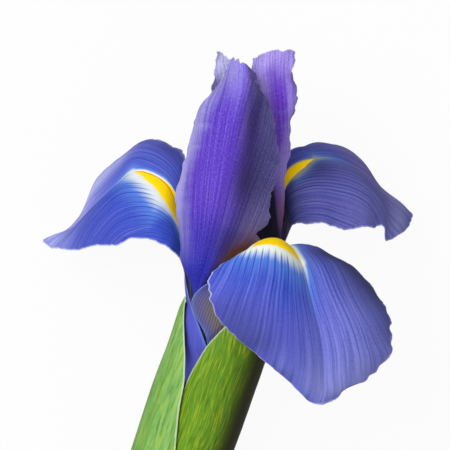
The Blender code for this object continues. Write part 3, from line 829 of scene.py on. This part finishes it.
def signal_fields(signal, stations, grid, fields):
    """How far inside the yellow signal each point is, in mm, less than 0 outside; and the same with the
    fading of its halo, drawn out into a streak along the midrib beyond the signal's tip."""
    side = fields["side"]
    ribs = [row[0] for row in signal["edges"]]
    minus, plus = (np.interp(stations, ribs, [row[k] for row in signal["edges"]]) for k in (1, 2))
    rows = np.flatnonzero(stations <= ribs[-1])
    edges = [points_at(grid, rows, (1 + reach[rows]) / 2) for reach in (-minus, plus)]
    edge = np.concatenate(edges)
    apart = np.array([np.linalg.norm(row[:, None] - edge, axis=-1).min(1) for row in grid])
    limit = np.where(side < 0, minus[:, None], plus[:, None])
    within = (np.abs(side) < limit) & (stations[:, None] <= ribs[-1])
    on_minus, on_plus = signal["fading"]
    fading = on_minus + (on_plus - on_minus) * smooth_step(side, -HALF_BLEND, HALF_BLEND)
    fading = fading * (1 + NARROWING * smooth_step(stations, *signal["narrows"])[:, None])
    onward = fields["down"] - fields["down"][rows[-1], 0]
    fade_aside, fade_onward = STREAK_FADE
    streak = STREAK_TOP - fade_aside * np.abs(fields["aside"])
    streak = streak - fade_onward * np.maximum(onward, -STREAK_BACK * onward)
    halo = np.where(within, apart, np.maximum(-apart * fading, streak))
    return np.where(within, apart, -apart), halo


def petal_offset(fields, grid, blade, look):
    """How far each point moves along the normal: veins, flutes and frills, and the push of the haft."""
    vein, rim, seed = fields["vein"], fields["rim"], look["seed"]
    raised = look["relief"] * np.cos(TURN * vein) * blade * smooth_step(rim, 0, RELIEF_FROM)
    near_margin = np.exp(-rim / MARGIN_REACH)
    flutes = np.where(fields["side"] < 0, *look["flutes"]) * near_margin
    flutes = flutes * np.cos(TURN * vein / look["flute"] + ripples(grid, FLUTE_WANDER, seed + 4))
    frills = look["frills"] * ripples(grid, look["frill_size"], seed + 5) * near_margin
    return raised + (flutes + frills) * blade - look.get("swell", 0) * (1 - blade)


def petal_thickness(fields, blade, look):
    """Thinner towards the margins, and thicker along the midrib of the haft."""
    ridge = RIDGE_THICK * np.exp(-((fields["aside"] / RIDGE_WIDTH) ** 2)) * (1 - blade)
    return look["thick"] * (RIM_THICK + (1 - RIM_THICK) * smooth_step(fields["rim"], 0, RIM_WIDTH)) + ridge


def petal(name, form, direction, look, skin, size=PETAL_SIZE):
    """A petal or style arm that springs in that direction round the flower's axis."""
    rows, columns = size
    stations = np.linspace(0, len(form[0]) - 1, rows + 1)
    side = np.tile(np.linspace(-1, 1, columns + 1), (rows + 1, 1))
    blade = smooth_step(stations / stations[-1], *BLADE_FROM)[:, None]
    grid = petal_grid(form, stations, side, blade, look)
    fields = petal_fields(grid, stations, side, look)
    grid = grid + normals(grid) * petal_offset(fields, grid, blade, look)[:, :, None]
    if "signal" in look:
        fields["signal"], fields["halo"] = signal_fields(look["signal"], stations, grid, fields)
    thick = petal_thickness(fields, blade, look)
    sheet(name + look["ending"], name, grid, thick, turned(FLOWER, direction), fields, skin)


# Looks of the petals, in mm; a pair holds the minus side's value and the plus side's.
#   teeth, tip_teeth: height of the margins' and the tip's small teeth; fork: depth of a forked tip
#   notches: each with its side, its share of the petal's length, its depth, and its own length as a share
#   spacing: between veins; fan_from, fan: where they start to fan out, and over what length they double it
#   relief: of the veins; flutes, flute: height of the margin's flutes, and the width of one in veins
#   frills, frill_size: height and size of the margin's random frills
#   blush, shadow, pale: spots, each with its share of the length, its side, its length, width and strength
#   swell, widen: how far the haft is pushed outward, and by what share its plus side is wider
FALL_LOOK = dict(
    ending="_petal", teeth=(0.13, 0.13), tip_teeth=0.5, fan_from=37, fan=7, spacing=0.38,
    relief=0.004, flutes=(0.03, 0.03), flute=3.3, frills=0.1, frill_size=4, thick=0.45,
)
STANDARD_LOOK = dict(
    ending="_petal", teeth=(0.35, 0.35), tip_teeth=0.9, fan_from=20, fan=11, spacing=0.22,
    relief=0.01, flutes=(0.04, 0.04), flute=4.3, frills=0.2, frill_size=3.5, thick=0.45,
)
ARM_LOOK = dict(
    ending="_blade", teeth=(0.3, 0.3), tip_teeth=0.6, fan_from=25, fan=20, spacing=0.7,
    relief=0.04, flutes=(0.1, 0.1), flute=2.3, frills=0.15, frill_size=2.5, thick=0.6,
    fork=4, seed=60,
)
LOOKS = dict(
    fall_left=dict(
        seed=10, teeth=(0.9, 0.12),
        shadow=[(0.53, -0.8, 0.06, 0.35, 0.7)],
        pale=[
            (0.7, -0.55, 0.04, 0.22, 0.5), (0.76, -0.6, 0.04, 0.28, 0.7),
            (0.82, -0.7, 0.035, 0.45, 0.9), (0.93, 0, 0.1, 2, 0.65),
        ],
        swell=0.4, widen=0.05,
    ),
    fall_right=dict(
        seed=20, teeth=(0.12, 0.8),
        # The olive blush here stands for the haft's own olive and for painted shade on it.
        blush=[(0.27, -0.5, 0.06, 1, 0.55)],
        shadow=[(0.34, -0.6, 0.05, 0.6, 0.9), (0.52, -0.25, 0.08, 0.25, 0.65)],
        pale=[(0.92, 0, 0.07, 2, 0.3)],
    ),
    fall_front=dict(
        seed=30, spacing=0.5, teeth=(0.2, 0.3), tip_teeth=1.2, flutes=(0.05, 0.22), flute=1.6,
        blush=[(0.15, -0.3, 0.07, 0.6, 0.9)],
        shadow=[
            (0.44, 0.65, 0.07, 0.5, 1), (0.54, 0.85, 0.08, 0.45, 0.75),
            (0.65, 1, 0.09, 0.25, 0.5), (0.68, -0.9, 0.1, 0.4, 0.65),
        ],
        # Painted light: a paler patch over the lower blade.
        pale=[(0.88, 0.2, 0.12, 1, 0.35)],
    ),
    standard_front=dict(
        seed=40,
        notches=[(-1, 0.74, 0.9, 0.008), (1, 0.45, 1.2, 0.01), (1, 0.93, 0.9, 0.01)],
        blush=[(0.37, 0.9, 0.06, 0.3, 0.95)],
        pale=[(0.47, 0.85, 0.06, 0.3, 0.2)],
        shadow=[(0.78, 0.46, 0.14, 0.3, 0.75), (0.57, 0.5, 0.12, 0.36, 0.75), (0.4, 0.45, 0.07, 0.4, 0.5)],
    ),
    standard_right=dict(
        seed=44,
        blush=[(0.42, 0.5, 0.05, 0.7, 0.7)],
        pale=[(0.96, 0, 0.07, 2, 0.4), (0.53, 0, 0.07, 2, 0.3)],
        shadow=[(0.26, 0, 0.1, 2, 1.6), (0.38, -0.8, 0.12, 0.45, 3)],
    ),
    # Its pale spot is partly painted light, where the front standard shades it.
    standard_back=dict(seed=48, pale=[(0.9, 0, 0.2, 2, 0.3)]),
)

# Tones of a fall: its two halves, the painted shade of its shadow spots, and its halo; blend: mm over which
# the halves meet; for
# each half, bright: strength of the brighter blue round the signal, and margin: mm of pale margin; crease:
# strength of the painted shade along the crease of the signal's midrib; rim: strength of the painted rim
# light; glow: of the signal, as painted light.
FALL_TONES = dict(
    fall_left=dict(
        minus=(104, 106, 196), plus=(66, 78, 176), dark=(56, 58, 140), blend=0.6,
        bright=(0.5, 0.55), margin=(3, 0.4), crease=0.8, halo=(216, 222, 218),
        rim=0.2, glow=0.04,
    ),
    fall_right=dict(
        minus=(102, 102, 174), plus=(124, 114, 184), dark=(44, 48, 96), blend=0.6,
        bright=(0.05, 0.6), margin=(0.5, 4), crease=0, halo=(180, 186, 150),
        rim=0.2, glow=0.2,
    ),
    fall_front=dict(
        minus=(86, 92, 192), plus=(120, 124, 214), dark=(60, 62, 116), blend=9,
        bright=(0.9, 0.3), margin=(0.5, 1.2), crease=0, halo=(232, 238, 222),
        rim=0.35, glow=0.06,
    ),
)

# Tones of a standard: its root, middle, plus side, margin and threads; the front standard's plus side is
# painted shade; plus_edge: strength of the pale margin on the plus side; margin: how many mm in it starts.
STANDARD_TONES = dict(
    standard_front=dict(
        # The plus tone is painted shade, for the side turned from the light.
        root=(34, 34, 176), middle=(90, 54, 188), plus=(58, 56, 116),
        edge=(172, 166, 230), dark=(40, 28, 108), plus_edge=0.15, margin=12,
    ),
    standard_right=dict(
        root=(164, 122, 194), middle=(104, 50, 200), plus=(122, 80, 200),
        edge=(186, 172, 238), dark=(70, 40, 140), plus_edge=0.4, margin=5,
    ),
    # Pale lavender made lighter still, tones and pale spot alike, as painted light where the front standard
    # shades it.
    standard_back=dict(
        root=(150, 140, 214), middle=(184, 180, 250), plus=(184, 180, 250),
        edge=(218, 218, 255), dark=(104, 90, 178), plus_edge=0.9, margin=8,
    ),
)


def build_petals():
    for name, form, direction in FALLS:
        look = {**FALL_LOOK, **LOOKS[name], "signal": SIGNALS[name]}
        petal(name, form, direction, look, fall_shade(name + "_skin", FALL_TONES[name]))
    for name, form, direction in STANDARDS:
        look = {**STANDARD_LOOK, **LOOKS[name]}
        petal(name, form, direction, look, standard_shade(name + "_skin", STANDARD_TONES[name]))


# ---------------- the middle, spathe and stem

STAMEN_ROWS, STAMEN_SIDES = 60, 24
ANTHER_STEP = 0.04  # share of a stamen over which it widens to the anther
ANTHER_CLOSES = 0.93  # share where the anther starts to close
ANTHER_END = 0.03  # share of its section left at the end


def anther_shape(angle):
    """Two swollen sides with a groove between them."""
    return 0.82 + 0.3 * np.abs(np.sin(angle))


def build_middle():
    """A style arm over each fall, with a stamen between them."""
    arm, skin = arm_shade("style_arm_skin"), stamen_shade("stamen_skin")
    stations = np.linspace(0, len(STAMEN_PATH) - 1, STAMEN_ROWS)
    centres = smooth_line(STAMEN_PATH, stations)
    share = stations / stations[-1]
    swollen = smooth_step(share, ANTHER_FROM, ANTHER_FROM + ANTHER_STEP)
    radii = FILAMENT_RADIUS + (ANTHER_RADIUS - FILAMENT_RADIUS) * swollen
    radii = radii * np.sqrt(np.clip(1.02 - smooth_step(share, ANTHER_CLOSES, 1), ANTHER_END, 1))
    for side, direction in ARMS:
        petal(f"style_arm_{side}", ARM_FORM, direction, ARM_LOOK, arm, ARM_SIZE)
        rod(f"stamen_{side}_rod", f"stamen_{side}", centres, radii, turned(FLOWER, direction),
            {"anther": swollen}, skin, STAMEN_SIDES, anther_shape)


BRACT_ROWS, BRACT_COLUMNS = 170, 110
BRACT_THICK = 0.6
BRACT_RIM, BRACT_RIM_WIDTH = 0.35, 2.5  # as RIM_THICK and RIM_WIDTH
FIBRES = 14  # to each radian round the stem
FIBRE_HEIGHT = 0.03
FIBRE_FROM = 2  # mm from the margin to the full height
FIBRE_WANDER, FIBRE_WANDER_SIZE, FIBRE_SEED = 0.3, 14, 70
SHADED_SIDE = (0.4, 1.05)  # radians round the stem, between which the shaded olive comes in: painted shade on the side turned from the light, over some darker olive of the bract's own
LEFT_LEAF = dict(
    body=(106, 154, 70), streak=(166, 190, 72), bloom=(124, 172, 98),
    margin=(176, 200, 160), dark=(64, 116, 50),
)
# Its shaded olive is painted shade on the side turned from the light, with some darker olive of its own.
RIGHT_LEAF = dict(
    body=(84, 128, 20), streak=(174, 180, 30), bloom=(92, 140, 30),
    margin=(170, 180, 150), dark=(50, 88, 14), far=(38, 38, 6),
)
STEM_LEAF = dict(
    body=(104, 150, 60), streak=(150, 172, 84), bloom=(122, 164, 100),
    margin=(190, 205, 140), dark=(72, 116, 44),
)

# Bracts: name, ribs, how far the margins are tucked in, and tones.
BRACTS = [("bract_left", BRACT_LEFT, 0, LEFT_LEAF), ("bract_right", BRACT_RIGHT, 1.6, RIGHT_LEAF)]


def build_spathe():
    for name, ribs, tuck, tones in BRACTS:
        stations = np.linspace(0, len(ribs) - 1, BRACT_ROWS + 1)
        share = np.tile(np.linspace(0, 1, BRACT_COLUMNS + 1), (BRACT_ROWS + 1, 1))
        grid = bract_surface(ribs, tuck, stations, share)
        rim = from_margin(lengths(grid, 1), lengths(grid, 0))
        turn = np.arctan2(grid[:, :, 1], grid[:, :, 0])
        fibre = turn * FIBRES + FIBRE_WANDER * ripples(grid, FIBRE_WANDER_SIZE, FIBRE_SEED)
        ridges = FIBRE_HEIGHT * np.cos(TURN * fibre) * smooth_step(rim, 0, FIBRE_FROM)
        grid = grid + normals(grid) * ridges[:, :, None]
        thick = BRACT_THICK * (BRACT_RIM + (1 - BRACT_RIM) * smooth_step(rim, 0, BRACT_RIM_WIDTH))
        fields = {"fibre": fibre, "turn": turn, "height": grid[:, :, 2], "rim": rim}
        sheet(name + "_leaf", name, grid, thick, STALK, fields, leaf_shade(name + "_skin", tones))


STEM_ROWS, STEM_SIDES = 120, 90
STEM_RIDGES, STEM_RIDGE = 18, 0.008  # how many, and their height as a share of the radius
CUT = [(0.3, 0.25), (1.4, 0.2), (2.4, 0.12), (3.2, 0), (3.8, 0.02), (4.1, 0.1)]  # radius and depth
CUT_EDGE = 0.3  # from the cut up to where the stem's side starts
OVARY_ROWS, OVARY_SIDES = 90, 72
FAR_IN = 9  # mm from the margin, where there is none near


def fluted(angle):
    """The three rounded ribs of the ovary."""
    return 1 + OVARY_LOBES * np.cos(3 * angle)


def ribbed(angle):
    """The fine ridges that run up the stem."""
    return 1 + STEM_RIDGE * np.cos(STEM_RIDGES * angle)


def rod_fields(height, rim):
    """What a leaf's material reads on a rod, which has only an outer face and no fibres."""
    return {"height": height, "rim": rim, "outer": np.ones_like(height), "fibre": np.zeros_like(height)}


def build_cut_stem(green):
    """The stem, from its cut end, a little hollow in the middle, up to the ovary."""
    heights = np.linspace(-STEM_LENGTH, -OVARY_LENGTH - ROOT_GAP, STEM_ROWS)
    cut_radii, cut_depths = np.array(CUT).T
    radii = np.concatenate([cut_radii, np.interp(heights, STEM_HEIGHTS, STEM_RADII)])
    up = np.concatenate([-STEM_LENGTH + cut_depths, heights + CUT_EDGE])
    up[-1] = heights[-1]
    centres = np.stack([np.zeros_like(up), np.zeros_like(up), up], axis=-1)
    rim = np.where(np.arange(len(up)) < len(CUT), 0, FAR_IN)
    rod("stem_rod", "stem", centres, radii, STALK, rod_fields(up, rim), green, STEM_SIDES, ribbed)


def build_ovary(green):
    """The ovary, which turns from the stem's axis to the flower's."""
    to_flower = FLOWER.inverted() @ STALK
    low = [tuple(to_flower @ Vector((0, 0, height))) for height in OVARY_HEIGHTS]
    line = low + [(0, 0, OVARY_SHOULDER), (0, 0, -ROOT_GAP)]
    stations = np.linspace(0, len(line) - 1, OVARY_ROWS)
    centres = smooth_line(line, stations)
    radii = smooth_line([(radius, 0) for radius in OVARY_RADII], stations)[:, 0]
    fields = rod_fields(centres[:, 2], np.full(OVARY_ROWS, FAR_IN))
    rod("ovary_body", "ovary", centres, radii, FLOWER, fields, green, OVARY_SIDES, fluted)


def build_stem():
    green = leaf_shade("stem_skin", STEM_LEAF)
    build_cut_stem(green)
    build_ovary(green)


# ---------------- stage

FLOOR_SIZE = 6  # in metres, as all sizes of the stage
FLOOR_GLOW = 0.94
WORLD_LIGHT = 0.4
LIGHTS = [("key", (-0.6, 0.45, 1.1), 0.9, 19), ("fill", (0.5, -0.9, 1), 1, 4.5)]  # size, then watts


def build_floor():
    """A white floor that glows for the camera alone and throws no light on the flower."""
    bpy.ops.mesh.primitive_plane_add(size=FLOOR_SIZE, location=(0, 0, 0))
    floor = bpy.context.object
    floor.name = "floor"
    skin = Shade("floor_paint", rough=0.9, specular=0)
    skin.paint = skin.mix(skin.noise(skin.place(), 3), FLOOR_DARK, FLOOR_LIGHT)
    skin.shader.inputs["Emission Color"].default_value = WHITE
    skin.shader.inputs["Emission Strength"].default_value = FLOOR_GLOW
    floor.data.materials.append(skin.done(skin.noise(skin.place(), 800), 0.01))
    floor.visible_diffuse = False
    floor.visible_glossy = False


def build_light(name, place, size, power):
    """A square soft light that faces the flower's throat."""
    lamp = bpy.data.lights.new(name, "AREA")
    lamp.size = size
    lamp.energy = power
    light = bpy.data.objects.new(name, lamp)
    bpy.context.collection.objects.link(light)
    light.location = place
    light.rotation_euler = (Vector(THROAT) * MM - Vector(place)).to_track_quat("-Z", "Y").to_euler()


def build_world():
    world = bpy.data.worlds.new("studio")
    bpy.context.scene.world = world
    world.use_nodes = True
    back = world.node_tree.nodes["Background"]
    back.inputs["Color"].default_value = WHITE
    back.inputs["Strength"].default_value = WORLD_LIGHT


def build_camera():
    lens = bpy.data.cameras.new("camera")
    lens.angle = 2 * math.atan(VIEW_WIDTH / 2 / CAMERA_HEIGHT)
    lens.clip_start = 0.01
    camera = bpy.data.objects.new("camera", lens)
    bpy.context.collection.objects.link(camera)
    aside, ahead = CAMERA_ASIDE
    camera.location = (Vector(THROAT) + Vector((aside, ahead, CAMERA_HEIGHT))) * MM
    bpy.context.scene.camera = camera


def build_stage():
    build_floor()
    build_world()
    for name, place, size, power in LIGHTS:
        build_light(name, place, size, power)
    build_camera()
    bpy.context.scene.view_settings.view_transform = "Standard"


build_petals()
build_middle()
build_spathe()
build_stem()
build_stage()
